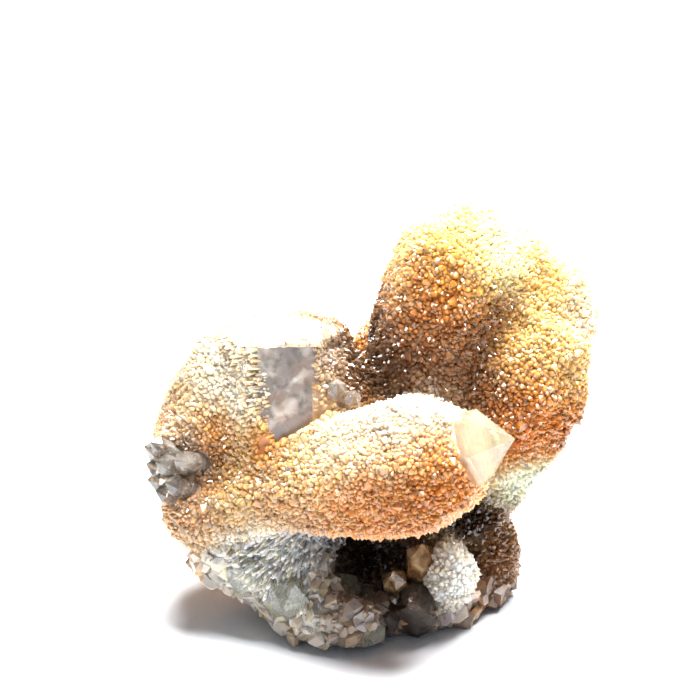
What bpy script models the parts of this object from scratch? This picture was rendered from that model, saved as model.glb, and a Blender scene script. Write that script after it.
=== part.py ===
"""Spirit quartz: one cluster of druse-coated quartz points, grown together from a broken base.

The whole specimen is a single solid. Big points (candles) radiate from a lumpy core, a crust of
small crystals covers them, and a few bare crystals stand out of the crust with flat faces.
The part stands on the flat broken face at z = 0, with the origin under the middle of its box.
X runs to the right of the front view, Y to the back and Z up.
"""

import math
import random

import bmesh
import bpy
from mathutils import Matrix, Vector
from mathutils.bvhtree import BVHTree

MM = 0.001

# Driving dimensions, in millimetres
FUSE_STEP = 0.9            # how finely the grown-together body is fused
SOFTENING = 4              # how often its surface is smoothed
CRUST_ROOM = 0.6           # how far the body lies inside its candles' sizes, for the crust
ROUGHNESS = 0.3            # unevenness that spreads the crust crystals evenly
BROKEN_ROUGHNESS = 0.6     # unevenness of the broken places
CRUST_CELLS = 2900         # faces that the crust crystals stand on
CRUST_HEIGHT = 0.95        # how far a crust crystal's point stands out
CRUST_SPREAD = (0.6, 1.25)  # lowest and highest crust crystal, as shares of that
CRUST_LEAN = 0.25          # how far it leans sideways, as a share of its height
CRUST_CLEARANCE = 2.4      # open space in front of a crust crystal
SMALLEST_CELL = 0.9        # area in square millimetres of the smallest face that grows a crystal
OFF_SURFACE = 0.05         # a place just in front of a face
SEED = 7

QUARTZ_COLOUR = (0.66, 0.46, 0.28, 1.0)
QUARTZ_ROUGHNESS = 0.35
CRUSTED, BARE = 0, 1       # marks on the faces while the crust grows

# Candles: (name, middle of the root, tip, radii at equal steps from root to tip,
#           turn about the axis in degrees)
CANDLES = [
    ("front", (-22, -6, 18), (14.0, -16, 30.8), (6.2, 6.2, 7.8, 10.2, 10.8, 6.2), 10),
    ("front_left", (-14, 0, 15.5), (-28.2, -9, 18), (6.5, 6.7, 6.5, 4.2), 20),
    ("column", (-12, -2, 17), (-12.3, 2.2, 42.0), (11.6, 11.6, 11.6, 11.2, 9.0), 30),
    ("left", (-20, 2, 16), (-19.5, 2, 40.5), (10.6, 12.0, 11.0, 8.2, 4.5), 0),
    ("left_low", (-18, 0, 20), (-30, -5, 26), (5.5, 5.2, 4.4, 2.8), 0),
    ("upper", (5, 4, 24), (15.2, 9, 57), (8.6, 9.6, 10.6, 11.0, 10.0, 2.0), 15),
    ("upper_shoulder", (15, 9, 30), (20.3, 11, 51.5), (7.0, 7.6, 7.6, 5.0), 0),
    ("upper_right", (17, 7, 24), (27.2, 10, 47.2), (8.2, 9.2, 9.4, 9.0, 4.2), 0),
    ("right", (10, 1, 12), (27.4, 2, 41), (8.0, 8.6, 9.2, 8.8, 4.5), 25),
    ("back", (2, 8, 18), (3, 23, 35), (9.0, 9.0, 8.6, 7.0, 2.5), 12),
    ("back_right", (8, 10, 14), (17, 24, 26), (8.5, 8.0, 7.6, 6.0, 2.5), 0),
    ("back_left", (-6, 8, 14), (-21, 21, 24), (8.5, 8.0, 7.6, 6.0, 2.5), 0),
    ("underside", (-4, -5, 6.5), (-25, -5.5, 12.8), (9.4, 9.0, 7.8, 5.4), 30),
]

# Lumps of the core and the base: (name, middle, half sizes along X, Y and Z, turn about Z)
LUMPS = [
    ("core", (1, 4, 20), (16, 12, 15), 10),
    ("foot", (5, 0, 2), (16.5, 13, 7), 28),
    ("back_foot", (2, 8, 7), (13, 8, 9), -12),
    ("heel", (17.5, 0, 6), (4.2, 5, 7.5), 0),
    ("shoulder", (-7, -10.8, 4), (10, 6.5, 6), -28),
    ("knob", (10.8, -9.6, 8.2), (4.3, 4.2, 5.8), 0),
]

# Pockets under the front candle: (name, middle, half sizes along X, Y and Z, turn about Z)
POCKETS = [
    ("left_pocket", (-1.5, -9, 10), (4.2, 8, 4.6), 10),
    ("right_pocket", (15, -8, 15), (5.5, 6, 3.4), -20),
]

# Broken places with no crust: (name, middle, radius)
BROKEN = [
    ("fibrous_side", (-13, -10, 7), 8.5),
    ("front_edge", (1, -14, 2), 7),
    ("right_edge", (14, -8, 0), 6),
    ("under_left", (-19, -4, 6), 10),
    ("back_edge", (0, 15, 0), 9),
]
BROKEN_HEIGHT = 3.0        # the base is broken all round up to this height

# Bare crystals: (name, root, tip, radius, length of the pointed end, turn about the axis)
CRYSTALS = [
    ("column_prism", (-12, -4.2, 18), (-12.3, -0.25, 41.6), 7.8, 0, 30),
    ("front_tip", (5, -13.4, 28.2), (18.6, -17.2, 33.4), 5.3, 5.0, 20),
    ("left_blade_1", (-22, -3, 22), (-31.6, -6.5, 27), 2.6, 2.6, 10),
    ("left_blade_2", (-22, -5, 20), (-31.2, -8, 22.6), 2.2, 2.4, 40),
    ("left_blade_3", (-22, -6, 19), (-28.6, -10.5, 23.5), 1.7, 2.0, 25),
    ("notch_1", (-5, -4, 32), (-5.0, -8.8, 37.5), 1.5, 1.6, 0),
    ("notch_2", (-4, -4, 31), (-2.6, -9, 36), 1.3, 1.5, 30),
    ("chunk_1", (-5, -8, 5), (-5.5, -17.6, 2.2), 4.2, 3.0, 20),
    ("chunk_2", (-1, -8, 4), (-0.6, -17.6, 1.8), 2.7, 2.4, 0),
    ("chunk_3", (-9, -6, 7), (-12.5, -15.4, 6.2), 3.9, 1.6, 40),
    ("chunk_4", (-14, -4, 9), (-19.5, -12.6, 10.2), 3.4, 1.4, 10),
    ("pillar_1", (6.5, -6, 3), (6.8, -9.6, 13.4), 2.3, 2.2, 0),
    ("pillar_2", (3.5, -6, 2), (2.8, -10.5, 9.6), 1.9, 2.0, 15),
    ("window", (7, -6, 6), (5.4, -13.6, 3.2), 3.3, 0, 10),
    ("window_2", (3, -7, 5), (1.2, -14.2, 2.8), 2.2, 0, 35),
]

# The coat is broken away from the column's front face. The missing block stands on its lower corner,
# its back face lies along the prism, and it is turned and tilted by these degrees.
MISSING_COAT_CORNER = (-13.2, -9.0, 28.6)
MISSING_COAT_SIZE = 24
MISSING_COAT_TURN = -32
MISSING_COAT_TILT = -9.5


def quartz(name):
    """Orange-brown quartz, stained by iron."""
    material = bpy.data.materials.new(name)
    material.use_nodes = True
    shader = material.node_tree.nodes["Principled BSDF"]
    shader.inputs["Base Color"].default_value = QUARTZ_COLOUR
    shader.inputs["Roughness"].default_value = QUARTZ_ROUGHNESS
    shader.inputs["Metallic"].default_value = 0.0
    material.diffuse_color = QUARTZ_COLOUR
    return material


def new_object(name, bm, mark=CRUSTED):
    """An object from shapes given in millimetres, with the same mark on all its faces."""
    bmesh.ops.scale(bm, vec=(MM, MM, MM), verts=bm.verts)
    for face in bm.faces:
        face.material_index = mark
    mesh = bpy.data.meshes.new(name)
    bm.to_mesh(mesh)
    bm.free()
    for slot in ("crusted_quartz", "bare_quartz"):
        mesh.materials.append(bpy.data.materials.get(slot) or quartz(slot))
    obj = bpy.data.objects.new(name, mesh)
    bpy.context.scene.collection.objects.link(obj)
    return obj


def along(root, tip):
    """Turns +Z to the way from root to tip, and moves the origin to root."""
    way = Vector(tip) - Vector(root)
    return Matrix.Translation(root) @ way.to_track_quat("Z", "Y").to_matrix().to_4x4()


def add_candle(bm, root, tip, radii, turn):
    """A six-sided point as a stack of tapered sections."""
    place = along(root, tip) @ Matrix.Rotation(math.radians(turn), 4, "Z")
    step = (Vector(tip) - Vector(root)).length / (len(radii) - 1)
    for i, (low, high) in enumerate(zip(radii, radii[1:])):
        middle = Matrix.Translation((0, 0, (i + 0.5) * step))
        bmesh.ops.create_cone(bm, cap_ends=True, segments=6, radius1=low, radius2=high,
                              depth=step, matrix=place @ middle)


def add_lump(bm, middle, half_sizes, turn):
    place = Matrix.Translation(middle) @ Matrix.Rotation(math.radians(turn), 4, "Z")
    scale = Matrix.Diagonal((*half_sizes, 1.0))
    bmesh.ops.create_icosphere(bm, subdivisions=2, radius=1.0, matrix=place @ scale)


def add_crystal(bm, root, tip, radius, point, turn):
    """A six-sided prism with flat faces and, where point isn't 0, a six-sided pyramid on it."""
    length = (Vector(tip) - Vector(root)).length - point
    place = along(root, tip) @ Matrix.Rotation(math.radians(turn), 4, "Z")
    made = bmesh.ops.create_cone(bm, cap_ends=True, segments=6, radius1=radius, radius2=radius,
                                 depth=length, matrix=place @ Matrix.Translation((0, 0, length / 2)))
    if point:
        far = sorted(made["verts"], key=lambda v: (v.co - Vector(tip)).length)[:6]
        cap = next(f for f in far[0].link_faces if len(f.verts) == 6 and set(f.verts) == set(far))
        bmesh.ops.poke(bm, faces=[cap], offset=point)


def grown_body():
    """All candles and lumps fused into one closed surface, with its pockets hollowed out."""
    bm = bmesh.new()
    for _, *candle in CANDLES:
        add_candle(bm, *candle)
    for _, *lump in LUMPS:
        add_lump(bm, *lump)
    body = new_object("spirit_quartz", bm)
    fuse(body)
    bm = bmesh.new()
    for _, *pocket in POCKETS:
        add_lump(bm, *pocket)
    combine(body, new_object("pockets", bm), "DIFFERENCE")
    fuse(body)
    return body


def fuse(body):
    """Melts overlapping shapes, or the sharp rims of a cut, into one even surface."""
    melt = body.modifiers.new("melt", "REMESH")
    melt.mode = "VOXEL"
    melt.voxel_size = FUSE_STEP * MM
    soften = body.modifiers.new("soften", "SMOOTH")
    soften.factor = 0.5
    soften.iterations = SOFTENING
    drop_closed_hollows(apply_modifiers(body))


def drop_closed_hollows(obj):
    """Keeps the outer surface, which the highest vertex is on, and fills any hollow inside it."""
    bm = bmesh.new()
    bm.from_mesh(obj.data)
    waiting = [max(bm.verts, key=lambda v: v.co.z)]
    outer = set(waiting)
    while waiting:
        vert = waiting.pop()
        beside = {edge.other_vert(vert) for edge in vert.link_edges} - outer
        outer |= beside
        waiting.extend(beside)
    inner = [v for v in bm.verts if v not in outer]
    bmesh.ops.delete(bm, geom=inner, context="VERTS")
    bm.to_mesh(obj.data)
    bm.free()


def apply_modifiers(obj):
    depsgraph = bpy.context.evaluated_depsgraph_get()
    mesh = bpy.data.meshes.new_from_object(obj.evaluated_get(depsgraph))
    obj.modifiers.clear()
    obj.data = mesh
    return obj


def spread_cells(body, chance):
    """Leaves about CRUST_CELLS triangles of like size, whatever the curvature."""
    outward = [v.normal.copy() for v in body.data.vertices]
    for v, normal in zip(body.data.vertices, outward):
        rough = BROKEN_ROUGHNESS if is_broken(v.co) else ROUGHNESS
        v.co += normal * (chance.uniform(-rough, rough) - CRUST_ROOM) * MM
    body.data.calc_loop_triangles()
    thin = body.modifiers.new("thin", "DECIMATE")
    thin.ratio = CRUST_CELLS / len(body.data.loop_triangles)
    thin.use_collapse_triangulate = True
    return apply_modifiers(body)


def is_broken(place):
    """Whether a place on the surface is broken rock, without a crust."""
    if place.z < BROKEN_HEIGHT * MM:
        return True
    return any((place - Vector(middle) * MM).length < radius * MM for _, middle, radius in BROKEN)


def grow_crust(body, chance):
    """Raises a small three-sided crystal on each face that has room for one."""
    bm = bmesh.new()
    bm.from_mesh(body.data)
    tree = BVHTree.FromBMesh(bm)
    growing = []
    for face in bm.faces:
        middle = face.calc_center_median()
        start = middle + face.normal * OFF_SURFACE * MM
        blocked = tree.ray_cast(start, face.normal, CRUST_CLEARANCE * MM)[0]
        too_small = face.calc_area() < SMALLEST_CELL * MM * MM
        if face.material_index == CRUSTED and not (blocked or too_small or is_broken(middle)):
            growing.append(face)
    points = bmesh.ops.poke(bm, faces=growing)["verts"]
    foot_of = {point: point.co.copy() for point in points}
    for point in points:
        lean = Vector([chance.uniform(-1, 1) for _ in range(3)]) * CRUST_LEAN
        point.co += (point.normal + lean) * CRUST_HEIGHT * chance.uniform(*CRUST_SPREAD) * MM
    for point in crossing_points(bm, points):
        point.co = foot_of[point]
    bm.to_mesh(body.data)
    bm.free()


def crossing_points(bm, points):
    """Points whose faces run through faces that they share no corner with."""
    bm.faces.ensure_lookup_table()
    tree = BVHTree.FromBMesh(bm)
    points = set(points)
    crossing = set()
    for i, j in tree.overlap(tree):
        if i < j and not set(bm.faces[i].verts) & set(bm.faces[j].verts):
            crossing |= (set(bm.faces[i].verts) | set(bm.faces[j].verts)) & points
    return crossing


def combine(body, tool, operation):
    """Adds or takes away another object's shape, and removes that object."""
    boolean = body.modifiers.new(operation.lower(), "BOOLEAN")
    boolean.operation = operation
    boolean.solver = "EXACT"
    boolean.use_self = operation == "UNION"
    boolean.object = tool
    apply_modifiers(body)
    bpy.data.objects.remove(tool)


def break_coat(body):
    """Takes the coat away from the column's front, down to the bare prism."""
    bm = bmesh.new()
    half = MISSING_COAT_SIZE / 2
    place = Matrix.Translation(MISSING_COAT_CORNER)
    place @= Matrix.Rotation(math.radians(MISSING_COAT_TILT), 4, "X")
    place @= Matrix.Rotation(math.radians(MISSING_COAT_TURN), 4, "Y")
    middle = Matrix.Translation((half, -half, half))
    bmesh.ops.create_cube(bm, size=MISSING_COAT_SIZE, matrix=place @ middle)
    combine(body, new_object("missing_coat", bm, BARE), "DIFFERENCE")


def add_bare_crystals(body):
    bm = bmesh.new()
    for _, *crystal in CRYSTALS:
        add_crystal(bm, *crystal)
    combine(body, new_object("bare_crystals", bm, BARE), "UNION")


def rest_flat(body):
    """Breaks the cluster off level at z = 0."""
    bm = bmesh.new()
    bm.from_mesh(body.data)
    everything = list(bm.verts) + list(bm.edges) + list(bm.faces)
    cut = bmesh.ops.bisect_plane(bm, geom=everything, plane_co=(0, 0, 0), plane_no=(0, 0, 1),
                                 clear_inner=True)
    rim = [e for e in cut["geom_cut"] if isinstance(e, bmesh.types.BMEdge)]
    for face in bmesh.ops.contextual_create(bm, geom=rim)["faces"]:
        face.material_index = BARE
    bm.to_mesh(body.data)
    bm.free()


def centre(body):
    """Moves the cluster sideways until the middle of its box is over the origin."""
    corners = [Vector(corner) for corner in body.bound_box]
    middle = sum(corners, Vector()) / len(corners)
    body.data.transform(Matrix.Translation((-middle.x, -middle.y, 0)))


def main():
    for obj in list(bpy.data.objects):
        bpy.data.objects.remove(obj)
    cluster = bpy.data.collections.new("spirit_quartz_cluster")
    bpy.context.scene.collection.children.link(cluster)
    chance = random.Random(SEED)
    body = grown_body()
    spread_cells(body, chance)
    break_coat(body)
    add_bare_crystals(body)
    rest_flat(body)
    grow_crust(body, chance)
    centre(body)
    cluster.objects.link(body)
    bpy.context.scene.collection.objects.unlink(body)


main()
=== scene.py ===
import math

import bmesh
import bpy
import numpy as np
from mathutils import Matrix, Vector, noise
from mathutils.bvhtree import BVHTree


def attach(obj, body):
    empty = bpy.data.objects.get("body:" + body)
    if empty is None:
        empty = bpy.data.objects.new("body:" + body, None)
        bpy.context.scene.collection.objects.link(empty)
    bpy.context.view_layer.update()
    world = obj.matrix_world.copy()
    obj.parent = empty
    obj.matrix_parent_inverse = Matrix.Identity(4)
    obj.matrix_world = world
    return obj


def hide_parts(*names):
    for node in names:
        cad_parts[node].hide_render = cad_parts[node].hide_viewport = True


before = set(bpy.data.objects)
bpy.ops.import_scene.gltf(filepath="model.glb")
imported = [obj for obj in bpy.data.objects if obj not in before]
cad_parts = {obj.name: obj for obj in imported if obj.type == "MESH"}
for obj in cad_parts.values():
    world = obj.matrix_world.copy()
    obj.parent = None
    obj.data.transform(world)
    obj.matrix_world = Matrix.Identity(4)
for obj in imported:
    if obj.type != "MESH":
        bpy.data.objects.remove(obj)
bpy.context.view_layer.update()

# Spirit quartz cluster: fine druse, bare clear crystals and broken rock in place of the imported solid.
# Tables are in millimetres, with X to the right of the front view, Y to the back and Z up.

MM = 0.001
NODE = "spirit_quartz"
SEED = 11
SIDES = 6                   # of every crystal, large or small
GROWN, WALL = 0, 1          # marks on the bed's faces: as grown, or a wall of the broken coat
STAIN_AND_PAINTED_LIGHT_ATTRIBUTE = "stain_and_painted_light"             # the attribute that holds each crystal's colour: stains with painted light and shade

# How the grown-together body is made, as in the solid
FUSE_STEP = 0.9
SOFTENING = 4
CRUST_ROOM = 0.6            # the bed lies this far inside the candles' sizes
TO_MIDDLE = Vector((-0.126, -0.861, 0.0))  # from the tables' origin to the middle of the box

# Finer than the solid
BED_STEP = 0.42             # how finely the bed under the grains is meshed
BED_WAVES = ((0.45, 3.5), (0.22, 1.3))   # height and length of its unevenness
ROCK_WAVES = ((0.5, 2.2), (0.35, 0.8))   # the same where it is broken

# Candles: (name, middle of the root, tip, radii at equal steps from root to tip,
#           turn about the axis in degrees)
CANDLES = [
    ("front", (-22, -6, 18), (14.0, -16, 30.8), (6.2, 6.2, 7.8, 10.2, 10.8, 6.2), 10),
    ("front_left", (-14, 0, 15.5), (-28.2, -9, 18), (6.5, 6.7, 6.5, 4.2), 20),
    ("column", (-12, -2, 17), (-12.3, 2.2, 42.0), (11.6, 11.6, 11.6, 11.2, 9.0), 30),
    ("left", (-20, 2, 16), (-19.5, 2, 40.5), (10.6, 12.0, 11.0, 8.2, 4.5), 0),
    ("left_low", (-18, 0, 20), (-30, -5, 26), (5.5, 5.2, 4.4, 2.8), 0),
    ("upper", (5, 4, 24), (15.2, 9, 57), (8.6, 9.6, 10.6, 11.0, 10.0, 2.0), 15),
    ("upper_shoulder", (15, 9, 30), (20.3, 11, 51.5), (7.0, 7.6, 7.6, 5.0), 0),
    ("upper_right", (17, 7, 24), (27.2, 10, 47.2), (8.2, 9.2, 9.4, 9.0, 4.2), 0),
    ("right", (10, 1, 12), (27.4, 2, 41), (8.0, 8.6, 9.2, 8.8, 4.5), 25),
    ("back", (2, 8, 18), (3, 23, 35), (9.0, 9.0, 8.6, 7.0, 2.5), 12),
    ("back_right", (8, 10, 14), (17, 24, 26), (8.5, 8.0, 7.6, 6.0, 2.5), 0),
    ("back_left", (-6, 8, 14), (-21, 21, 24), (8.5, 8.0, 7.6, 6.0, 2.5), 0),
    ("underside", (-4, -5, 6.5), (-25, -5.5, 12.8), (9.4, 9.0, 7.8, 5.4), 30),
]

# Which candles' grains make one piece of druse
DRUSE_PIECES = {
    "druse_front": ("front",),
    "druse_left": ("front_left", "column", "left", "left_low"),
    "druse_upper": ("upper", "upper_shoulder"),
    "druse_right": ("upper_right", "right"),
    "druse_back": ("back", "back_right", "back_left"),
    "druse_base": ("underside",),
}

# Lumps of the core and the base: (name, middle, half sizes along X, Y and Z, turn about Z)
LUMPS = [
    ("core", (1, 4, 20), (16, 12, 15), 10),
    ("foot", (5, 0, 2), (16.5, 13, 7), 28),
    ("back_foot", (2, 8, 7), (13, 8, 9), -12),
    ("heel", (17.5, 0, 6), (4.2, 5, 7.5), 0),
    ("shoulder", (-7, -10.8, 4), (10, 6.5, 6), -28),
    ("knob", (10.8, -9.6, 8.2), (4.3, 4.2, 5.8), 0),
]

# Pockets under the front candle: (name, middle, half sizes along X, Y and Z, turn about Z)
POCKETS = [
    ("left_pocket", (-1.5, -9, 10), (4.2, 8, 4.6), 10),
    ("right_pocket", (15, -8, 15), (5.5, 6, 3.4), -20),
]

# Broken places with no crust: (name, middle, radius)
BROKEN = [
    ("fibrous_side", (-13, -10, 7), 8.5),
    ("front_edge", (1, -14, 2), 7),
    ("right_edge", (14, -8, 0), 6),
    ("under_left", (-19, -4, 6), 10),
    ("back_edge", (0, 15, 0), 9),
]
BROKEN_HEIGHT = 3.0

# Bare crystals: (name, root, tip, radius, length of the pointed end, turn about the axis)
COLUMN_PRISM = [("column_prism", (-12, -4.2, 18), (-12.3, -0.25, 41.6), 7.8, 0, 30)]
FRONT_TIP = [("front_tip", (5, -13.4, 28.2), (18.6, -17.2, 33.4), 5.3, 5.0, 20)]
LEFT_BLADES = [
    ("left_blade_1", (-22, -3, 22), (-31.6, -6.5, 27), 1.7, 1.6, 10),
    ("left_blade_2", (-22, -5, 20), (-31.2, -8, 22.6), 1.6, 1.4, 40),
    ("left_blade_3", (-22, -6, 19), (-28.6, -10.5, 23.5), 1.5, 1.6, 25),
    ("left_blade_4", (-22, -3, 21), (-30.6, -7.6, 28.2), 1.3, 1.2, 5),
    ("left_blade_5", (-22, -4, 21), (-29.8, -8.8, 25.8), 1.6, 1.3, 15),
    ("left_blade_6", (-23, -4, 19), (-31.3, -7.4, 24.8), 1.5, 1.3, 50),
    ("left_blade_7", (-22, -5, 24), (-27.2, -10.2, 26.6), 1.4, 1.2, 35),
    ("left_blade_8", (-23, -5, 18), (-30.0, -9.4, 21.6), 1.3, 1.2, 20),
]
NOTCH_CRYSTALS = [
    ("notch_1", (-5, -4, 32), (-5.0, -8.8, 37.5), 1.5, 1.6, 0),
    ("notch_2", (-4, -4, 31), (-2.6, -9, 36), 1.3, 1.5, 30),
]
CHUNKS = [
    ("chunk_1", (-5, -8, 5), (-5.5, -17.6, 2.2), 4.2, 3.0, 20),
    ("chunk_2", (-1, -8, 4), (-0.6, -17.6, 1.8), 2.7, 2.4, 0),
    ("chunk_3", (-9, -6, 7), (-12.5, -15.4, 6.2), 3.9, 1.6, 40),
    ("chunk_4", (-14, -4, 9), (-19.5, -12.6, 10.2), 3.4, 1.4, 10),
]
PILLARS = [
    ("pillar_1", (6.5, -6, 3), (6.8, -9.6, 13.4), 2.3, 2.2, 0),
    ("pillar_2", (3.5, -6, 2), (2.8, -10.5, 9.6), 1.9, 2.0, 15),
]
WINDOWS = [
    ("window", (7, -6, 6), (5.4, -13.6, 3.2), 3.3, 0, 10),
    ("window_2", (3, -7, 5), (1.2, -14.2, 2.8), 2.2, 0, 35),
]

# The block of coat that is broken away from the column's front
MISSING_COAT_CORNER = (-13.2, -9.0, 28.6)
MISSING_COAT_SIZE = 24
MISSING_COAT_TURN = -32
MISSING_COAT_TILT = -9.5
WALL_CUTS = 56              # how finely its walls are meshed

# How uneven small crystals are, as least and most
RING_REACH = (0.85, 1.15)       # how far out each edge lies, in half widths
SHOULDER_STEPS = (-0.13, 0.13)  # how far up each edge ends, in widths
TIP_ASIDE = (-0.25, 0.25)       # how far aside the tip lies, in half widths

# Grains of the druse
GRAIN_SPACING = 0.47        # no two grains' middles are closer
GRAIN_WIDTH = 0.98          # the middle one's
WIDTH_SPREAD = 0.2          # how far the logarithm of the width spreads
GRAIN_SIDE = 0.22           # how far its sides stand out of the bed
GRAIN_SIDES = (0.4, 1.5)    # least and most, in shares of that
GRAIN_POINTS = (0.34, 0.62)  # least and most length of the pointed end, in widths
GRAIN_BURIED = 0.5          # how deep the foot of every small crystal lies
GRAIN_LEAN = 0.2
CLEAR_OF_CRYSTALS = 0.35    # no grain stands closer than this to a bare crystal
TRIES_PER_GRAIN = 9
NEIGHBOURS = [(x, y, z) for x in (-1, 0, 1) for y in (-1, 0, 1) for z in (-1, 0, 1)]

# Broken blocks on the base, needles of the fan, fibres of the broken coat and the crystals left on
# the prism's top and right side: (spacing, then least and most width, side and point)
BLOCKS = (1.1, (1.8, 3.6), (-0.1, 0.5), (0.1, 0.5))
NEEDLES = (0.36, (0.25, 0.7), (0.3, 1.6), (0.2, 0.6))
FIBRES = (0.42, (0.25, 0.55), (0.5, 1.6), (0.1, 0.3))
CAP_GRAINS = (0.5, (0.8, 1.6), (-0.3, 0.2), (0.3, 0.7))
SIDE_GRAINS = (0.5, (0.5, 1.0), (0.0, 0.3), (0.15, 0.4))
SPROUT_LEAN = 0.14
SPROUT_TO_SPROUT = 0.2      # how much one differs in colour from the next

# Where they stand
STANDING_HEIGHT = 1.0       # blocks and needles stand above this
FACING_DOWN = -0.85         # and on no face that is turned further down
FAN_MIDDLE = (-7.5, -8.0, 17.5)
FAN_REACH = 13.5
FAN_BACK = 1.0              # how far the fan goes behind its middle
FAN_OUT = 0.35              # how much its needles follow the bed's outward way
NEEDLES_LEFT_OF = -7.0
BLOCKS_RIGHT_OF = -8.0      # inside the fan
FIBRES_LEFT_OF = -14.0
FIBRE_WAY = (-1.0, -0.35, 0.0)
FIBRE_OUT = 0.5             # how much they follow the outward way
FACING_UP = 0.8
FACING_ASIDE = 0.4
PRISM_COAT_HEIGHT = 38.0    # a side face of the prism that reaches this high has crystals

# Colours, as red, green and blue out of 255
WHITE = (250, 245, 234)
CREAM = (252, 228, 200)
YELLOW = (252, 236, 180)
HONEY = (232, 192, 138)
ORANGE = (224, 144, 60)
AMBER = (196, 126, 62)
PINK_BROWN = (198, 156, 124)
BROWN = (128, 88, 54)
DARK = (44, 30, 22)
GREY = (158, 144, 134)
BLUE_GREY = (150, 156, 162)
GREEN_WHITE = (222, 224, 200)
SMOKE = (92, 84, 76)
STEEL = (128, 122, 118)
TIP = (226, 226, 212)

# Stains, with painted light and shade among them: (middle, radius, colour, strength), in the row's frame
STAINS_AND_PAINTED_LIGHT = [
    # upper candle: yellow on top and browns below are partly stains, partly painted light from above and
    # painted shade under it
    ((14, 4, 55), 6.5, YELLOW, 3),
    ((19, 7, 53), 6, YELLOW, 3),
    ((9, 0, 51), 5, ORANGE, 3),
    ((12, -1, 49), 4, ORANGE, 3),
    ((3, 1, 50), 5, HONEY, 2),
    ((3, 2, 46), 5, PINK_BROWN, 2),
    ((1, 2, 41), 5, PINK_BROWN, 2),
    ((8, -3, 43), 5, AMBER, 2),
    # painted shade: browns in the crease and on the underside of the upper candle
    ((15, -4, 42), 3, BROWN, 7),
    ((18, -1, 45), 2.5, BROWN, 7),
    ((11, -3, 38), 4, BROWN, 6),
    ((6, -3, 38), 4, BROWN, 4),
    ((6, -2, 46), 6, AMBER, 2),
    ((16, 2, 50), 4, YELLOW, 3),
    # right side: yellow and cream on top are partly stains, partly painted light
    ((24, 5, 48), 4, ORANGE, 3),
    ((27, 6, 48), 4, YELLOW, 2),
    ((23, 0, 43), 5, HONEY, 3),
    ((30, 4, 42), 4, CREAM, 3),
    ((19, -4, 37), 3, HONEY, 3),
    ((16, -4, 34), 4, BROWN, 4),
    ((21, -6, 33), 5, AMBER, 4),
    ((27, -5, 36), 4, HONEY, 3),
    ((25, -6, 30), 5, AMBER, 4),
    ((21, -7, 27), 4, AMBER, 4),
    ((21, -5, 20), 3.5, GREEN_WHITE, 7),
    ((28, -2, 27), 3, BROWN, 4),
    ((18, -4, 14), 4, BROWN, 3),
    # front candle: white and cream on top are partly painted highlight, amber and orange under it partly
    # painted shade
    # painted highlight: white on the front candle's top
    ((7, -12, 37), 7, WHITE, 4),
    ((-2, -14, 35), 6, CREAM, 3),
    ((12, -14, 37), 5, CREAM, 3),
    ((2, -19, 34), 5, CREAM, 4),
    ((-6, -16, 31), 5, CREAM, 4),
    ((15.5, -17.5, 32.5), 4, CREAM, 12),
    ((9, -23, 31), 5, ORANGE, 5),
    ((12, -22, 29), 4, AMBER, 5),
    ((5, -21, 27), 7, AMBER, 7),
    ((-3, -19, 26), 5, ORANGE, 4),
    ((-2, -20, 24), 5, PINK_BROWN, 3),
    ((6, -21, 25), 5, PINK_BROWN, 3),
    ((-10, -15, 28), 5, HONEY, 4),
    ((-14, -15, 24), 5, PINK_BROWN, 4),
    ((-8, -16, 21), 4, PINK_BROWN, 4),
    ((-15, -12, 29), 2.4, ORANGE, 4),
    ((-19, -12, 23), 5, HONEY, 2),
    ((-25, -12, 18), 5, PINK_BROWN, 3),
    # left side and the column: cream and white on their tops are partly painted highlight
    ((-24, -1, 38), 8, CREAM, 4),
    ((-27, -1, 31), 5, PINK_BROWN, 4),
    ((-19, -6, 36), 4, CREAM, 5),
    ((-27, -2, 32), 4, HONEY, 2),
    ((-22, -7, 30), 3, ORANGE, 3),
    ((-28, -8, 26), 4, GREY, 4),
    ((-23, -9, 25), 3.5, BROWN, 4),
    ((-13, -1, 43), 5, WHITE, 4),
    ((-5, -5, 40), 4, GREY, 4),
    ((-3, -2, 34), 5, BROWN, 4),
    # painted shade: dark in the gap between the column and the upper candle
    ((0, 3, 36), 6, DARK, 8),
    # base
    ((-8, -11, 15.5), 3.5, BLUE_GREY, 7),
    ((-16, -13, 9), 6, WHITE, 6),
    ((-12, -13, 11), 3.5, WHITE, 6),
    ((-16, -10, 5), 6, GREY, 6),
    ((-7, -17, 5), 6, GREY, 6),
    ((-9, -16, 5), 3, WHITE, 4),
    ((3, -14, 3), 5, GREY, 6),
    ((11, -11, 2), 4, GREY, 6),
    ((-22, -5, 7), 5, GREY, 6),
    ((0, 15, 1), 9, GREY, 6),
    ((18, 2, 1), 5, GREY, 5),
    # painted shade: dark in the pockets under the front candle
    ((-1, -8, 11), 5.5, DARK, 14),
    ((14, -5, 15), 4, DARK, 9),
    ((10, -13, 9), 5, WHITE, 5),
    ((18, -5, 5), 5, BROWN, 6),
    ((6, -11, 11), 3, BROWN, 6),
    ((-27, -8, 24), 3, GREY, 6),
    # back
    ((4, 22, 37), 5, CREAM, 4),
    ((4, 20, 28), 7, AMBER, 4),
    ((18, 24, 24), 7, AMBER, 4),
    ((-21, 21, 22), 8, AMBER, 4),
    ((-14, 14, 32), 6, ORANGE, 4),
    ((-26, 10, 30), 7, PINK_BROWN, 4),
    ((12, 18, 42), 7, AMBER, 4),
    ((22, 17, 42), 6, ORANGE, 4),
    ((30, 8, 34), 7, AMBER, 4),
    ((-2, 12, 38), 6, BROWN, 4),
]
BED_PAINTED_SHADE = 0.88            # painted shade: the bed between the grains has this share of the stains' light
STAIN_DEPTH = 1.42          # above 1, mid tones get deeper and purer
PLAIN_STAIN = 0.6           # how strongly the plain colour holds against the stains
GRAIN_TO_GRAIN = 0.1        # how much one grain differs from the next
WARMER = (0.3, 0, -1.0)     # how red, green and blue change in a warmer grain
STAIN_LIMITS = (0.002, 0.95)

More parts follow.
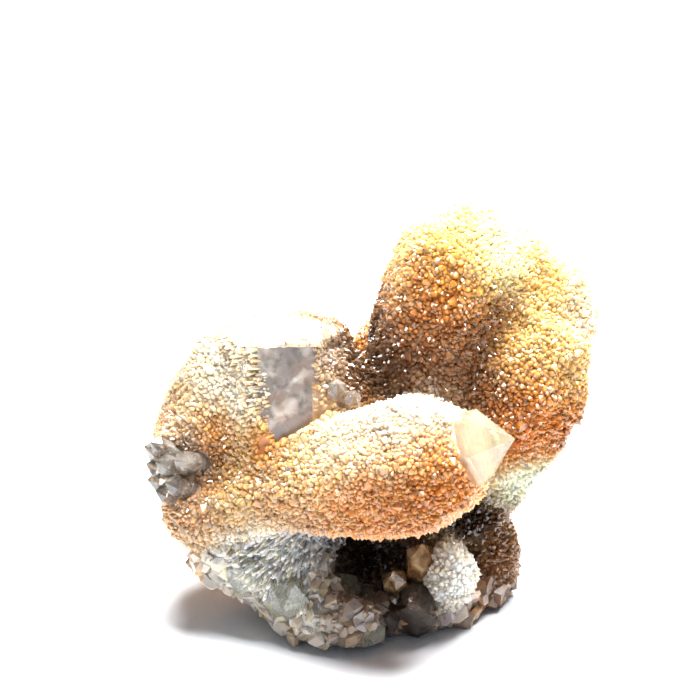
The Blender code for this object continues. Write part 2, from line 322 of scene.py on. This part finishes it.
# Materials. Noise: (width of its patches, detail, distortion). Bump: (strength, height)
QUARTZ_IOR = 1.544
DRUSE_FLECKS = (0.7, 3, 0.0)
DRUSE_SHADES = (0.72, 1.2)  # least and most light, in shares of the attribute's colour
DRUSE_ROUGHNESS = (0.1, 0.32)
DRUSE_BUMP = (0.15, 0.1)
DRUSE_CLEARNESS = 0.08
SCATTERING = 0.8            # how much of its light the druse scatters inside
SCATTER_REACH = 1.9
SCATTER_COLOUR = (1.0, 0.82, 0.62)
BED_FLECKS = (1.2, 5, 0.0)
BED_SHADES = (0.45, 1.15)
BED_BUMP = (0.8, 0.4)
BED_ROUGHNESS = 0.4
CLEAR_FLECKS = (2.5, 6, 0.6)
CLEAR_VEILS = (0.35, 0.65)  # the noise where veils begin, and where they are full
CLEAR_BUMP = (0.12, 0.2)
PRISM_DETAIL = (7, 0.5)     # detail and distortion of its noise
PRISM_VEILS = (             # (width of the patches, colour, the noise where they begin and are full)
    (3.2, STEEL, (0.35, 0.65)),
    (4.5, BROWN, (0.48, 0.75)),
    (1.8, SMOKE, (0.48, 0.7)),
    (2.6, WHITE, (0.5, 0.9)),
)
PRISM_ROUGHNESS = 0.12
PRISM_CLEARNESS = 0.3

# Clear crystal: (name, colour, colour of the veils, transmission, roughness, colour absorbed to,
#                 density)
CLEAR_MATERIALS = [
    ("blue_grey_glass", WHITE, GREY, 0.85, 0.05, WHITE, 20),
    ("milky_glass", TIP, GREEN_WHITE, 0.86, 0.05, CREAM, 40),
    ("honey_glass", HONEY, BROWN, 0.6, 0.1, HONEY, 200),
    ("smoky_glass", SMOKE, DARK, 0.4, 0.05, SMOKE, 200),
]

# Pieces of bare crystal: (name, crystals, material)
BARE_PIECES = [
    ("column_prism", COLUMN_PRISM, "smoky_prism"),
    ("front_tip", FRONT_TIP, "milky_glass"),
    ("left_blades", LEFT_BLADES, "blue_grey_glass"),
    ("notch_crystals", NOTCH_CRYSTALS, "blue_grey_glass"),
    ("chunks", CHUNKS, "milky_glass"),
    ("pillars", PILLARS, "honey_glass"),
    ("windows", WINDOWS, "smoky_glass"),
]

# Camera, light and floor
CAMERA_ELEVATION = 24.0
CAMERA_DISTANCE = 320.0
CAMERA_AIM = (-3.35, -2.86, 39.5)
CAMERA_CLIP = 10
HALF_VIEW = 48.0            # half of what the picture spans at the aim
SENSOR_WIDTH = 36
LIGHT_PLACE = (60, 100, 540)
LIGHT_AIM = (0, 0, 20)
LIGHT_SIZE = 400
LIGHT_POWER = 22
LIGHT_COLOUR = (1, 0.98, 0.95)
SKY_COLOUR = (0.84, 0.92, 1, 1)
SKY_STRENGTH = 0.25
FLOOR_SIZE = 3000
FLOOR_DROP = 0.2            # how far the floor lies under the resting face
FLOOR_ROUGHNESS = 0.7
PAPER = (230, 236, 244)


def linear(colour):
    """Red, green and blue out of 255 as light values, with full alpha."""
    parts = np.array(colour, float) / 255
    light = np.where(parts <= 0.04045, parts / 12.92, ((parts + 0.055) / 1.055) ** 2.4)
    return (*light.tolist(), 1.0)


def add_object(name, data):
    """An object in the scene from a mesh, a camera or a light."""
    obj = bpy.data.objects.new(name, data)
    bpy.context.scene.collection.objects.link(obj)
    return obj


def from_bmesh(name, bm, mark=GROWN):
    """An object from shapes in the tables' millimetres, moved to the row's frame.

    Its two material slots let the marks of its faces outlast a cut.
    """
    bmesh.ops.translate(bm, verts=bm.verts, vec=TO_MIDDLE)
    bmesh.ops.scale(bm, vec=(MM, MM, MM), verts=bm.verts)
    for face in bm.faces:
        face.material_index = mark
    mesh = bpy.data.meshes.new(name)
    bm.to_mesh(mesh)
    bm.free()
    mesh.materials.append(None)
    mesh.materials.append(None)
    return add_object(name, mesh)


def along(root, tip):
    """Turns +Z to the way from root to tip, and moves the origin to root."""
    way = Vector(tip) - Vector(root)
    return Matrix.Translation(root) @ way.to_track_quat("Z", "Y").to_matrix().to_4x4()


def add_candle(bm, root, tip, radii, turn):
    """A six-sided candle: a cone for each step from its root to its tip."""
    place = along(root, tip) @ Matrix.Rotation(math.radians(turn), 4, "Z")
    step = (Vector(tip) - Vector(root)).length / (len(radii) - 1)
    for i, (low, high) in enumerate(zip(radii, radii[1:])):
        middle = Matrix.Translation((0, 0, (i + 0.5) * step))
        bmesh.ops.create_cone(bm, cap_ends=True, segments=SIDES, radius1=low, radius2=high,
                              depth=step, matrix=place @ middle)


def add_lump(bm, middle, half_sizes, turn):
    """A faceted lump with half sizes along its own X, Y and Z, turned about Z in degrees."""
    place = Matrix.Translation(middle) @ Matrix.Rotation(math.radians(turn), 4, "Z")
    scale = Matrix.Diagonal((*half_sizes, 1.0))
    bmesh.ops.create_icosphere(bm, subdivisions=2, radius=1.0, matrix=place @ scale)


def add_crystal(bm, root, tip, radius, point, turn):
    """A six-sided crystal, with a pyramid on it where point isn't 0."""
    length = (Vector(tip) - Vector(root)).length - point
    place = along(root, tip) @ Matrix.Rotation(math.radians(turn), 4, "Z")
    middle = Matrix.Translation((0, 0, length / 2))
    made = bmesh.ops.create_cone(bm, cap_ends=True, segments=SIDES, radius1=radius, radius2=radius,
                                 depth=length, matrix=place @ middle)
    if point:
        far = sorted(made["verts"], key=lambda v: (v.co - Vector(tip)).length)[:SIDES]
        cap = next(f for f in far[0].link_faces if set(f.verts) == set(far))
        bmesh.ops.poke(bm, faces=[cap], offset=point)


def apply_modifiers(obj):
    """Turns what the modifiers make of an object into its mesh."""
    depsgraph = bpy.context.evaluated_depsgraph_get()
    mesh = bpy.data.meshes.new_from_object(obj.evaluated_get(depsgraph))
    obj.modifiers.clear()
    obj.data = mesh


def fuse(body, step, softening):
    """Melts overlapping shapes, or the sharp rims of a cut, into one even surface."""
    melt = body.modifiers.new("melt", "REMESH")
    melt.mode = "VOXEL"
    melt.voxel_size = step * MM
    soften = body.modifiers.new("soften", "SMOOTH")
    soften.factor = 0.5
    soften.iterations = softening
    apply_modifiers(body)


def combine(body, tool, operation):
    """Joins a tool to a body or cuts it out, and removes the tool."""
    boolean = body.modifiers.new(operation.lower(), "BOOLEAN")
    boolean.operation = operation
    boolean.solver = "EXACT"
    boolean.object = tool
    apply_modifiers(body)
    bpy.data.objects.remove(tool)


def is_broken(place):
    """Whether a place, in millimetres in the row's frame, is broken rock without grains."""
    if place.z < BROKEN_HEIGHT:
        return True
    return any((place - TO_MIDDLE - Vector(middle)).length < radius for _, middle, radius in BROKEN)


def waves(place, shape):
    """Smooth unevenness at a place, as a sum of heights at different lengths."""
    return sum(height * noise.noise(place / length) for height, length in shape)


def grown_bed():
    """The body under the grains: candles and lumps fused, hollowed, roughened, cut and stood flat."""
    bm = bmesh.new()
    for _, *candle in CANDLES:
        add_candle(bm, *candle)
    for _, *lump in LUMPS:
        add_lump(bm, *lump)
    bed = from_bmesh("quartz_bed", bm)
    fuse(bed, FUSE_STEP, SOFTENING)
    bm = bmesh.new()
    for _, *pocket in POCKETS:
        add_lump(bm, *pocket)
    combine(bed, from_bmesh("pockets", bm), "DIFFERENCE")
    fuse(bed, FUSE_STEP, SOFTENING)
    fuse(bed, BED_STEP, 2)
    roughen(bed)
    break_coat(bed)
    rest_flat(bed)
    return bed


def roughen(bed):
    """Moves the bed in under the crust and makes it uneven, more so where it is broken."""
    outward = [v.normal.copy() for v in bed.data.vertices]
    for v, normal in zip(bed.data.vertices, outward):
        place = v.co / MM
        shape = ROCK_WAVES if is_broken(place) else BED_WAVES
        v.co += normal * (waves(place, shape) - CRUST_ROOM) * MM


def break_coat(bed):
    """Takes the coat away from the column's front, and leaves finely meshed walls."""
    bm = bmesh.new()
    half = MISSING_COAT_SIZE / 2
    place = Matrix.Translation(MISSING_COAT_CORNER)
    place @= Matrix.Rotation(math.radians(MISSING_COAT_TILT), 4, "X")
    place @= Matrix.Rotation(math.radians(MISSING_COAT_TURN), 4, "Y")
    middle = Matrix.Translation((half, -half, half))
    bmesh.ops.create_cube(bm, size=MISSING_COAT_SIZE, matrix=place @ middle)
    bmesh.ops.subdivide_edges(bm, edges=bm.edges[:], cuts=WALL_CUTS, use_grid_fill=True)
    combine(bed, from_bmesh("missing_coat", bm, WALL), "DIFFERENCE")


def rest_flat(body):
    """Cuts a body level at z = 0 and closes the cut."""
    bm = bmesh.new()
    bm.from_mesh(body.data)
    everything = list(bm.verts) + list(bm.edges) + list(bm.faces)
    cut = bmesh.ops.bisect_plane(bm, geom=everything, plane_co=(0, 0, 0), plane_no=(0, 0, 1),
                                 clear_inner=True)
    rim = [e for e in cut["geom_cut"] if isinstance(e, bmesh.types.BMEdge)]
    bmesh.ops.contextual_create(bm, geom=rim)
    bm.to_mesh(body.data)
    bm.free()


def to_arrays(obj):
    """Triangles of a mesh as arrays, in millimetres: corners, outward ways, areas, face marks."""
    mesh = obj.data
    mesh.calc_loop_triangles()
    co = np.empty(len(mesh.vertices) * 3)
    mesh.vertices.foreach_get("co", co)
    co = co.reshape(-1, 3) / MM
    corners = np.empty(len(mesh.loop_triangles) * 3, int)
    mesh.loop_triangles.foreach_get("vertices", corners)
    corners = co[corners.reshape(-1, 3)]
    face = np.empty(len(mesh.loop_triangles), int)
    mesh.loop_triangles.foreach_get("polygon_index", face)
    marks = np.empty(len(mesh.polygons), int)
    mesh.polygons.foreach_get("material_index", marks)
    across = np.cross(corners[:, 1] - corners[:, 0], corners[:, 2] - corners[:, 0])
    size = np.linalg.norm(across, axis=1)
    return corners, across / np.maximum(size, 1e-9)[:, None], size / 2, marks[face]


def scatter(surface, wanted, spacing, rng):
    """Places spread over the wanted triangles, no two closer than spacing, with their outward ways."""
    corners, outward, area, _ = surface
    chance = area * wanted
    tries = int(TRIES_PER_GRAIN * chance.sum() / spacing ** 2)
    picked = rng.choice(len(area), tries, p=chance / chance.sum())
    a, b = rng.random((2, tries))
    over = a + b > 1
    a[over], b[over] = 1 - a[over], 1 - b[over]
    first, second, third = corners[picked].transpose(1, 0, 2)
    places = first + a[:, None] * (second - first) + b[:, None] * (third - first)
    cells = {}
    kept = []
    for i, place in enumerate(places.tolist()):
        x, y, z = (int(c // spacing) for c in place)
        near = (q for p in NEIGHBOURS for q in cells.get((x + p[0], y + p[1], z + p[2]), ()))
        if all(math.dist(place, q) >= spacing for q in near):
            cells.setdefault((x, y, z), []).append(place)
            kept.append(i)
    return places[kept], outward[picked[kept]]


def unit(rows):
    """Rows of X, Y and Z, each made 1 long."""
    return rows / np.maximum(np.linalg.norm(rows, axis=1), 1e-9)[:, None]


def crystals(places, ways, width, side, point, rng):
    """Vertices of many six-sided crystals: the buried ring, the shoulder ring and the tip of each."""
    count = len(places)
    steep = np.abs(ways[:, 2:]) > 0.8
    across = unit(np.cross(ways, np.where(steep, (1.0, 0, 0), (0, 0, 1.0))))
    other = np.cross(ways, across)
    turn = 2 * math.pi / SIDES
    spin = rng.random(count) * turn
    angle = spin[:, None] + np.arange(SIDES) * turn
    reach = (width / 2)[:, None] * rng.uniform(*RING_REACH, (count, SIDES))
    ring = (across[:, None] * (np.cos(angle) * reach)[..., None]
            + other[:, None] * (np.sin(angle) * reach)[..., None])
    steps = side[:, None] + width[:, None] * rng.uniform(*SHOULDER_STEPS, (count, SIDES))
    low = places[:, None] + ring - ways[:, None] * GRAIN_BURIED
    high = places[:, None] + ring + ways[:, None] * steps[..., None]
    aside = ring[:, 0] * rng.uniform(*TIP_ASIDE, (count, 1))
    tip = places + aside + ways * (side + point)[:, None]
    verts = np.concatenate([low, high, tip[:, None]], axis=1)
    verts[..., 2] = np.maximum(verts[..., 2], 0)
    return verts


def crystal_mesh(name, verts, colours):
    """One mesh of many crystals, each with its own colour."""
    count, corners, _ = verts.shape
    k = np.arange(SIDES)
    after = (k + 1) % SIDES
    sides = np.stack([k, after, after + SIDES, k + SIDES], 1)
    caps = np.stack([k + SIDES, after + SIDES, np.full(SIDES, 2 * SIDES)], 1)
    loops = np.concatenate([sides.ravel(), caps.ravel(), k[::-1]])
    totals = np.array([4] * SIDES + [3] * SIDES + [SIDES])
    starts = np.cumsum(totals) - totals
    offset = np.arange(count)[:, None]
    mesh = bpy.data.meshes.new(name)
    mesh.vertices.add(count * corners)
    mesh.vertices.foreach_set("co", (verts * MM).ravel())
    mesh.loops.add(count * len(loops))
    mesh.loops.foreach_set("vertex_index", (loops + offset * corners).ravel())
    mesh.polygons.add(count * len(starts))
    mesh.polygons.foreach_set("loop_start", (starts + offset * len(loops)).ravel())
    mesh.polygons.foreach_set("loop_total", np.tile(totals, count))
    mesh.update(calc_edges=True)
    mesh.validate()
    keep_stain_and_painted_light(mesh, np.repeat(colours, corners, axis=0))
    mesh.shade_flat()
    return mesh


def keep_stain_and_painted_light(mesh, colours):
    """Writes a colour for each vertex to the attribute that the materials read."""
    stain_and_painted_light = mesh.color_attributes.new(STAIN_AND_PAINTED_LIGHT_ATTRIBUTE, "FLOAT_COLOR", "POINT")
    rows = np.concatenate([colours, np.ones((len(colours), 1))], 1)
    stain_and_painted_light.data.foreach_set("color", rows.ravel())


def stain_and_painted_light_colours(places, rng, grain_to_grain):
    """The colour at each place: named stains and painted light and shade that blend, and a random share
    for each place.
    """
    total = np.full(len(places), PLAIN_STAIN)
    mixed = np.outer(total, linear(HONEY)[:3])
    for middle, radius, colour, strength in STAINS_AND_PAINTED_LIGHT:
        away = np.linalg.norm(places - np.array(middle), axis=1) / radius
        weight = strength * np.exp(-away ** 2)
        total += weight
        mixed += np.outer(weight, linear(colour)[:3])
    mixed = (mixed / total[:, None]) ** STAIN_DEPTH
    shade = np.exp(rng.normal(0, grain_to_grain, (len(places), 1)))
    warm = np.exp(rng.normal(0, grain_to_grain / 2, (len(places), 1)) * WARMER)
    return np.clip(mixed * shade * warm, *STAIN_LIMITS)


def nearest_candle(places):
    """For each place, which candle's side it is closest to."""
    gaps = []
    for _, root, tip, radii, _ in CANDLES:
        start = np.array(root, float) + np.array(TO_MIDDLE)
        way = np.array(tip, float) - np.array(root, float)
        share = np.clip((places - start) @ way / (way @ way), 0, 1)
        radius = np.interp(share, np.linspace(0, 1, len(radii)), radii)
        gaps.append(np.linalg.norm(places - start - share[:, None] * way, axis=1) - radius)
    return np.argmin(gaps, axis=0)


def clear_of(tree, places):
    """Which places stand clear of the bare crystals."""
    clear = []
    for place in places:
        near, normal, _, gap = tree.find_nearest(Vector(place) * MM)
        inside = (Vector(place) * MM - near).dot(normal) < 0
        clear.append(not inside and gap > CLEAR_OF_CRYSTALS * MM)
    return np.array(clear)


def grow_druse(surface, crystal_tree, rng):
    """The druse: small crystals on the crusted parts of the bed, a piece for each group of candles."""
    corners, _, _, marks = surface
    middles = corners.mean(axis=1)
    crusted = np.array([mark == GROWN and not is_broken(Vector(m)) for m, mark in zip(middles, marks)])
    places, ways = scatter(surface, crusted, GRAIN_SPACING, rng)
    clear = clear_of(crystal_tree, places)
    places, ways = places[clear], ways[clear]
    ways = unit(ways + rng.normal(0, GRAIN_LEAN, ways.shape))
    count = len(places)
    width = GRAIN_WIDTH * np.exp(rng.normal(0, WIDTH_SPREAD, count))
    side = GRAIN_SIDE * rng.uniform(*GRAIN_SIDES, count)
    point = width * rng.uniform(*GRAIN_POINTS, count)
    verts = crystals(places, ways, width, side, point, rng)
    colours = stain_and_painted_light_colours(places, rng, GRAIN_TO_GRAIN)
    owner = nearest_candle(places)
    names = [candle[0] for candle in CANDLES]
    for piece, candles in DRUSE_PIECES.items():
        mine = np.isin(owner, [names.index(c) for c in candles])
        yield add_object(piece, crystal_mesh(piece, verts[mine], colours[mine]))


def sprout(name, surface, wanted, sizes, towards, rng):
    """Crystals on the wanted triangles. Towards turns places and outward ways into the crystals' ways."""
    spacing, width, side, point = sizes
    places, outward = scatter(surface, wanted, spacing, rng)
    ways = unit(towards(places, outward) + rng.normal(0, SPROUT_LEAN, places.shape))
    count = len(places)
    verts = crystals(places, ways, rng.uniform(*width, count), rng.uniform(*side, count),
                     rng.uniform(*point, count), rng)
    colours = stain_and_painted_light_colours(places, rng, SPROUT_TO_SPROUT)
    return add_object(name, crystal_mesh(name, verts, colours))


def outwards(_, out):
    return out


def out_of_fan(places, out):
    return out * FAN_OUT + unit(places - np.array(FAN_MIDDLE))


def along_fibres(_, out):
    return out * FIBRE_OUT + np.array(FIBRE_WAY)


def grow_base(surface, rng):
    """Blocks on the broken base, needles of the fan and fibres of the broken coat."""
    corners, outward, _, marks = surface
    middles = corners.mean(axis=1)
    x, y, z = middles.T
    broken = np.array([is_broken(Vector(m)) for m in middles]) & (marks == GROWN)
    standing = broken & (z > STANDING_HEIGHT) & (outward[:, 2] > FACING_DOWN)
    reached = np.linalg.norm(middles - np.array(FAN_MIDDLE), axis=1) < FAN_REACH
    in_fan = reached & (y < FAN_MIDDLE[1] + FAN_BACK)
    blocks = standing & ~(in_fan & (x < BLOCKS_RIGHT_OF))
    needles = standing & in_fan & (x < NEEDLES_LEFT_OF)
    fibres = (marks == WALL) & (x < FIBRES_LEFT_OF)
    yield sprout("base_blocks", surface, blocks, BLOCKS, outwards, rng)
    yield sprout("fan_needles", surface, needles, NEEDLES, out_of_fan, rng)
    yield sprout("coat_fibres", surface, fibres, FIBRES, along_fibres, rng)


def cover_prism(surface, rng):
    """Small crystals left on the bare prism's top and right side, and the coat's fibres on its left."""
    corners, outward, _, _ = surface
    top = outward[:, 2] > FACING_UP
    side = (corners[:, :, 2].max(axis=1) > PRISM_COAT_HEIGHT) & ~top
    right = side & (outward[:, 0] > FACING_ASIDE)
    left = side & (outward[:, 0] < -FACING_ASIDE)
    yield sprout("prism_cap", surface, top, CAP_GRAINS, outwards, rng)
    yield sprout("prism_side", surface, right, SIDE_GRAINS, outwards, rng)
    yield sprout("prism_fibres", surface, left, FIBRES, along_fibres, rng)


def new_material(name):
    """A material, its node tree and its shader."""
    material = bpy.data.materials.new(name)
    material.use_nodes = True
    return material, material.node_tree, material.node_tree.nodes["Principled BSDF"]


def new_quartz(name):
    """The same, with quartz's index of refraction."""
    material, tree, shader = new_material(name)
    shader.inputs["IOR"].default_value = QUARTZ_IOR
    return material, tree, shader


def cloud(tree, width, detail, distortion):
    """Noise whose patches are about width millimetres wide, whatever the piece."""
    place = tree.nodes.new("ShaderNodeTexCoord")
    texture = tree.nodes.new("ShaderNodeTexNoise")
    texture.inputs["Scale"].default_value = 1 / (width * MM)
    texture.inputs["Detail"].default_value = detail
    texture.inputs["Distortion"].default_value = distortion
    tree.links.new(place.outputs["Object"], texture.inputs["Vector"])
    return texture


def spread(tree, texture, noise_range, result_range=(0, 1)):
    """Turns a range of a texture's noise into another range."""
    node = tree.nodes.new("ShaderNodeMapRange")
    node.inputs["From Min"].default_value, node.inputs["From Max"].default_value = noise_range
    node.inputs["To Min"].default_value, node.inputs["To Max"].default_value = result_range
    tree.links.new(texture.outputs["Fac"], node.inputs["Value"])
    return node.outputs["Result"]


def blend(tree, first, second, share, kind="MIX"):
    """A mix of two colours. Each colour and the share is a plain value or a node's output."""
    node = tree.nodes.new("ShaderNodeMix")
    node.data_type = "RGBA"
    node.blend_type = kind
    for socket, source in (("A", first), ("B", second), ("Factor", share)):
        if isinstance(source, bpy.types.NodeSocket):
            tree.links.new(source, node.inputs[socket])
        else:
            node.inputs[socket].default_value = source
    return node.outputs["Result"]


def bump(tree, texture, strength, height):
    node = tree.nodes.new("ShaderNodeBump")
    node.inputs["Strength"].default_value = strength
    node.inputs["Distance"].default_value = height * MM
    tree.links.new(texture.outputs["Fac"], node.inputs["Height"])
    return node.outputs["Normal"]


def flecked_stain_and_painted_light(tree, flecks, shades):
    """The stains and painted light and shade at each place, darker and lighter by the flecks."""
    stain_and_painted_light = tree.nodes.new("ShaderNodeAttribute")
    stain_and_painted_light.attribute_name = STAIN_AND_PAINTED_LIGHT_ATTRIBUTE
    return blend(tree, stain_and_painted_light.outputs["Color"], spread(tree, flecks, (0, 1), shades), 1, "MULTIPLY")


def druse_material():
    """Small glassy crystals that scatter light inside."""
    material, tree, shader = new_quartz("druse")
    flecks = cloud(tree, *DRUSE_FLECKS)
    link = tree.links.new
    link(flecked_stain_and_painted_light(tree, flecks, DRUSE_SHADES), shader.inputs["Base Color"])
    link(spread(tree, flecks, (0, 1), DRUSE_ROUGHNESS), shader.inputs["Roughness"])
    link(bump(tree, flecks, *DRUSE_BUMP), shader.inputs["Normal"])
    shader.inputs["Transmission Weight"].default_value = DRUSE_CLEARNESS
    shader.inputs["Subsurface Weight"].default_value = SCATTERING
    shader.inputs["Subsurface Radius"].default_value = SCATTER_COLOUR
    shader.inputs["Subsurface Scale"].default_value = SCATTER_REACH * MM
    return material


def bed_material():
    """The dull rock between the small crystals."""
    material, tree, shader = new_quartz("bed")
    flecks = cloud(tree, *BED_FLECKS)
    tree.links.new(flecked_stain_and_painted_light(tree, flecks, BED_SHADES), shader.inputs["Base Color"])
    tree.links.new(bump(tree, flecks, *BED_BUMP), shader.inputs["Normal"])
    shader.inputs["Roughness"].default_value = BED_ROUGHNESS
    return material


def clear_material(name, colour, veil, transmission, roughness, absorption, density):
    """Clear or milky crystal: see-through, with veils inside its colour."""
    material, tree, shader = new_quartz(name)
    flecks = cloud(tree, *CLEAR_FLECKS)
    veils = spread(tree, flecks, CLEAR_VEILS)
    link = tree.links.new
    link(blend(tree, linear(colour), linear(veil), veils), shader.inputs["Base Color"])
    link(bump(tree, flecks, *CLEAR_BUMP), shader.inputs["Normal"])
    shader.inputs["Roughness"].default_value = roughness
    shader.inputs["Transmission Weight"].default_value = transmission
    absorb = tree.nodes.new("ShaderNodeVolumeAbsorption")
    absorb.inputs["Color"].default_value = linear(absorption)
    absorb.inputs["Density"].default_value = density
    link(absorb.outputs["Volume"], tree.nodes["Material Output"].inputs["Volume"])
    return material


def prism_material():
    """The column's bare prism: smoky and brown below its glossy face, with white veils."""
    material, tree, shader = new_quartz("smoky_prism")
    colour = linear(GREY)
    for width, veil, noise_range in PRISM_VEILS:
        veils = spread(tree, cloud(tree, width, *PRISM_DETAIL), noise_range)
        colour = blend(tree, colour, linear(veil), veils)
    tree.links.new(colour, shader.inputs["Base Color"])
    shader.inputs["Roughness"].default_value = PRISM_ROUGHNESS
    shader.inputs["Transmission Weight"].default_value = PRISM_CLEARNESS
    return material


def dress(obj, material):
    """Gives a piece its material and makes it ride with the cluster."""
    obj.data.materials.clear()
    obj.data.materials.append(material)
    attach(obj, "root")
    return obj


def bare(name, table, material):
    """A piece of bare crystals, none of which reaches below the floor."""
    bm = bmesh.new()
    for _, *crystal in table:
        add_crystal(bm, *crystal)
    for v in bm.verts:
        v.co.z = max(v.co.z, 0)
    return dress(from_bmesh(name, bm), material)


def stain_and_shade_bed(bed, rng):
    """Colours the bed as the crystals on it, a little darker as painted shade between the grains."""
    co = np.empty(len(bed.data.vertices) * 3)
    bed.data.vertices.foreach_get("co", co)
    places = co.reshape(-1, 3) / MM
    colours = stain_and_painted_light_colours(places, rng, 0.0) * BED_PAINTED_SHADE
    keep_stain_and_painted_light(bed.data, colours)


def bare_crystals():
    """The crystals that stand out of the druse, see-through or milky."""
    materials = {row[0]: clear_material(*row) for row in CLEAR_MATERIALS}
    materials["smoky_prism"] = prism_material()
    for name, table, material in BARE_PIECES:
        yield bare(name, table, materials[material])


def tree_of(objects):
    """The faces of several objects, for finding which is nearest."""
    verts, faces = [], []
    for obj in objects:
        faces += [[i + len(verts) for i in face.vertices] for face in obj.data.polygons]
        verts += [v.co.copy() for v in obj.data.vertices]
    return BVHTree.FromPolygons(verts, faces)


def build_cluster():
    """All pieces of the cluster, dressed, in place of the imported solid."""
    rng = np.random.default_rng(SEED)
    bed = grown_bed()
    surface = to_arrays(bed)
    stain_and_shade_bed(bed, rng)
    crystal_tree = tree_of(list(bare_crystals()))
    druse = druse_material()
    for piece in grow_druse(surface, crystal_tree, rng):
        dress(piece, druse)
    for piece in grow_base(surface, rng):
        dress(piece, druse)
    for piece in cover_prism(to_arrays(bpy.data.objects["column_prism"]), rng):
        dress(piece, druse)
    dress(bed, bed_material())
    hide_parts(NODE)


def place_camera():
    """The camera at the photograph's angle."""
    elevation = math.radians(CAMERA_ELEVATION)
    back = Vector((0, -math.cos(elevation), math.sin(elevation)))
    camera = add_object("camera", bpy.data.cameras.new("camera"))
    camera.data.sensor_width = SENSOR_WIDTH
    camera.data.lens = SENSOR_WIDTH / 2 * CAMERA_DISTANCE / HALF_VIEW
    camera.data.clip_start = CAMERA_CLIP * MM
    camera.location = (Vector(CAMERA_AIM) + back * CAMERA_DISTANCE) * MM
    camera.rotation_euler = (math.pi / 2 - elevation, 0, 0)
    bpy.context.scene.camera = camera


def add_floor():
    """A pale paper floor just under the resting face."""
    bm = bmesh.new()
    bmesh.ops.create_grid(bm, x_segments=1, y_segments=1, size=FLOOR_SIZE * MM)
    mesh = bpy.data.meshes.new("floor")
    bm.to_mesh(mesh)
    bm.free()
    floor = add_object("floor", mesh)
    floor.location.z = -FLOOR_DROP * MM
    material, _, shader = new_material("paper")
    shader.inputs["Base Color"].default_value = linear(PAPER)
    shader.inputs["Roughness"].default_value = FLOOR_ROUGHNESS
    floor.data.materials.append(material)


def light_world():
    """A dim pale blue sky, and plain white where the camera looks past the floor."""
    world = bpy.data.worlds.new("studio")
    bpy.context.scene.world = world
    world.use_nodes = True
    tree = world.node_tree
    sky = tree.nodes["Background"]
    sky.inputs["Color"].default_value = SKY_COLOUR
    sky.inputs["Strength"].default_value = SKY_STRENGTH
    white = tree.nodes.new("ShaderNodeBackground")
    white.inputs["Color"].default_value = (1, 1, 1, 1)
    path = tree.nodes.new("ShaderNodeLightPath")
    mixed = tree.nodes.new("ShaderNodeMixShader")
    tree.links.new(path.outputs["Is Camera Ray"], mixed.inputs["Fac"])
    tree.links.new(sky.outputs["Background"], mixed.inputs[1])
    tree.links.new(white.outputs["Background"], mixed.inputs[2])
    tree.links.new(mixed.outputs["Shader"], tree.nodes["World Output"].inputs["Surface"])
    bpy.context.scene.view_settings.view_transform = "Standard"


def add_light():
    """One wide soft light overhead, a little behind the cluster."""
    light = bpy.data.lights.new("overhead", "AREA")
    light.shape = "DISK"
    light.size = LIGHT_SIZE * MM
    light.energy = LIGHT_POWER
    light.color = LIGHT_COLOUR
    obj = add_object("overhead", light)
    obj.location = Vector(LIGHT_PLACE) * MM
    way = Vector(LIGHT_AIM) - Vector(LIGHT_PLACE)
    obj.rotation_euler = way.to_track_quat("-Z", "Y").to_euler()


def main():
    build_cluster()
    place_camera()
    add_floor()
    light_world()
    add_light()


main()
